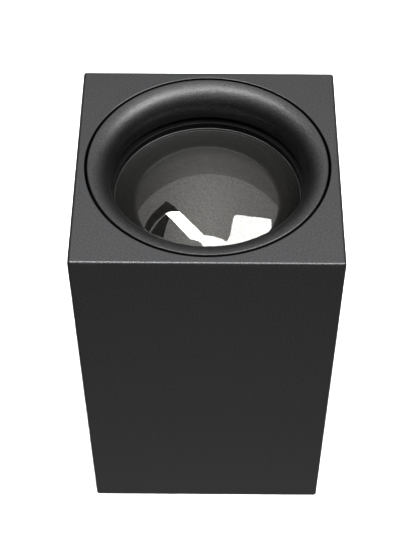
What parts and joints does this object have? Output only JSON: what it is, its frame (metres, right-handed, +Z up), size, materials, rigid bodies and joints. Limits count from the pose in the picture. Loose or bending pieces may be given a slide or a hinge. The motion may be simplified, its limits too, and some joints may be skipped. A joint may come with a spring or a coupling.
{
  "type": "bollard light",
  "caption": "Low square bollard light: cast housing with a round recessed light well in its top, a turn-off trim ring and a domed glass.",
  "frame": {"origin": "middle of the underside, in the plane the light stands on", "axes": "+Z up, along the housing; X and Y square to its sides, -Y is the front"},
  "size_m": [0.16, 0.16, 0.261],
  "materials": {
    "graphite_paint": "cast, with a fine textured satin powder coat",
    "trim_paint": "turned, with a smooth satin black coat",
    "tinted_glass": "dark grey tint, polished",
    "black_rubber": "matt",
    "bright_aluminium": "satin anodised",
    "sink_aluminium": "as extruded",
    "stainless": "plain",
    "black_screws": "black passivated",
    "galvanised": "zinc coated",
    "nickel_brass": "nickel plated",
    "white_plastic": "moulded",
    "grey_plastic": "moulded",
    "thermal_grey": "soft pad",
    "led_yellow": "phosphor on ceramic board",
    "brown_insulation": "PVC",
    "blue_insulation": "PVC",
    "green_insulation": "PVC",
    "red_insulation": "PVC",
    "black_insulation": "PVC"
  },
  "bodies": {
    "body": {"base_plate": "galvanised", "base_tabs": "galvanised", "bracket_screws": "stainless", "clamp_ring_screws": "black_screws", "closing_plate": "sink_aluminium", "closing_plate_gasket": "black_rubber", "closing_plate_screws": "stainless", "driver_bracket": "galvanised", "driver_screws": "stainless", "earth_nut": "stainless", "earth_ring_terminal": "nickel_brass", "earth_stud": "stainless", "earth_washer": "stainless", "earth_wire": "green_insulation", "gland_body": "nickel_brass", "gland_locknut": "nickel_brass", "gland_nut": "nickel_brass", "gland_seal": "black_rubber", "gland_washer": "black_rubber", "heat_sink": "sink_aluminium", "heat_sink_pillars": "sink_aluminium", "heat_sink_screws": "stainless", "housing": "graphite_paint", "housing_set_screws": "stainless", "led_board": "led_yellow", "led_driver": "grey_plastic", "led_holder": "white_plastic", "led_holder_screws": "stainless", "led_negative_wire": "black_insulation", "led_positive_wire": "red_insulation", "lens": "tinted_glass", "lens_clamp_ring": "trim_paint", "lens_lower_gasket": "black_rubber", "lens_upper_gasket": "black_rubber", "live_wire": "brown_insulation", "neutral_wire": "blue_insulation", "pressure_vent": "grey_plastic", "reflector": "bright_aluminium", "reflector_screws": "stainless", "terminal_block": "white_plastic", "terminal_clamp_screws": "nickel_brass", "terminal_fixing_screws": "stainless", "thermal_pad": "thermal_grey", "trim_ring_seal": "black_rubber", "vent_seal": "black_rubber"},
    "bezel": {"trim_ring": "trim_paint"}
  },
  "joints": [
    {"name": "trim_ring_twist", "type": "hinge", "parent": "body", "child": "bezel", "pos_m": [0, 0, 0.2312], "axis": [0, 0, 1], "range_deg": [0, 24]}
  ]
}
